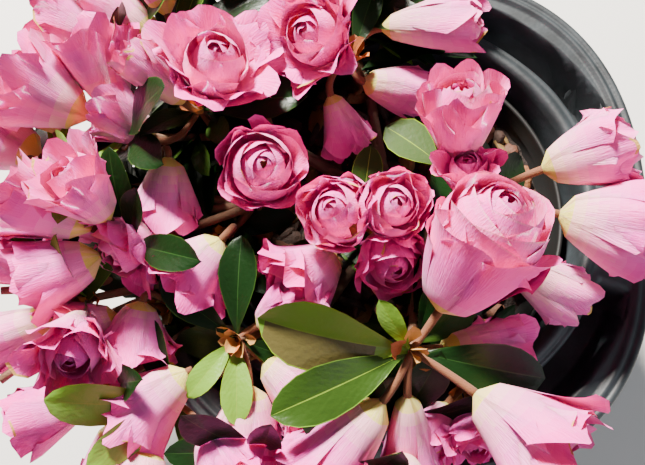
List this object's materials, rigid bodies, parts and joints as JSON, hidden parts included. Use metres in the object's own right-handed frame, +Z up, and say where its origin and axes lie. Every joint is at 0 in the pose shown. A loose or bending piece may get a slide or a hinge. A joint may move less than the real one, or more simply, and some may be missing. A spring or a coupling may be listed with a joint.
{
  "type": "potted double azalea shrub",
  "caption": "Low spreading azalea shrub in full rosy bloom, in a round nursery pot seated in one pocket of a carry tray.",
  "frame": {"origin": "middle of the tray's flat underside, on the pot's centre line", "axes": "+Z up, -Y towards the viewer of the reference picture, +X to the viewer's right"},
  "size_m": [0.2523, 0.2692, 0.1829],
  "materials": {
    "tray_plastic": "thin moulded dark grey nursery plastic, dusty",
    "pot_plastic": "black moulded nursery plastic",
    "bark_mix": "damp chipped bark and peat",
    "bark": "rough grey-brown bark",
    "leaf": "glossy evergreen leaf",
    "petal": "soft pink petal, pale at the foot"
  },
  "bodies": {
    "root": {"tray_pocket": "tray_plastic", "tray_deck": "tray_plastic", "pot": "pot_plastic", "bark_mix": "bark_mix", "trunk": "bark", "bough_1": "bark", "bough_2": "bark", "bough_3": "bark", "bough_4": "bark", "bough_5": "bark", "bough_6": "bark", "mass_1": "petal", "mass_2": "petal", "mass_3": "petal", "mass_4": "petal", "mass_5": "petal", "mass_6": "petal"}
  },
  "joints": []
}
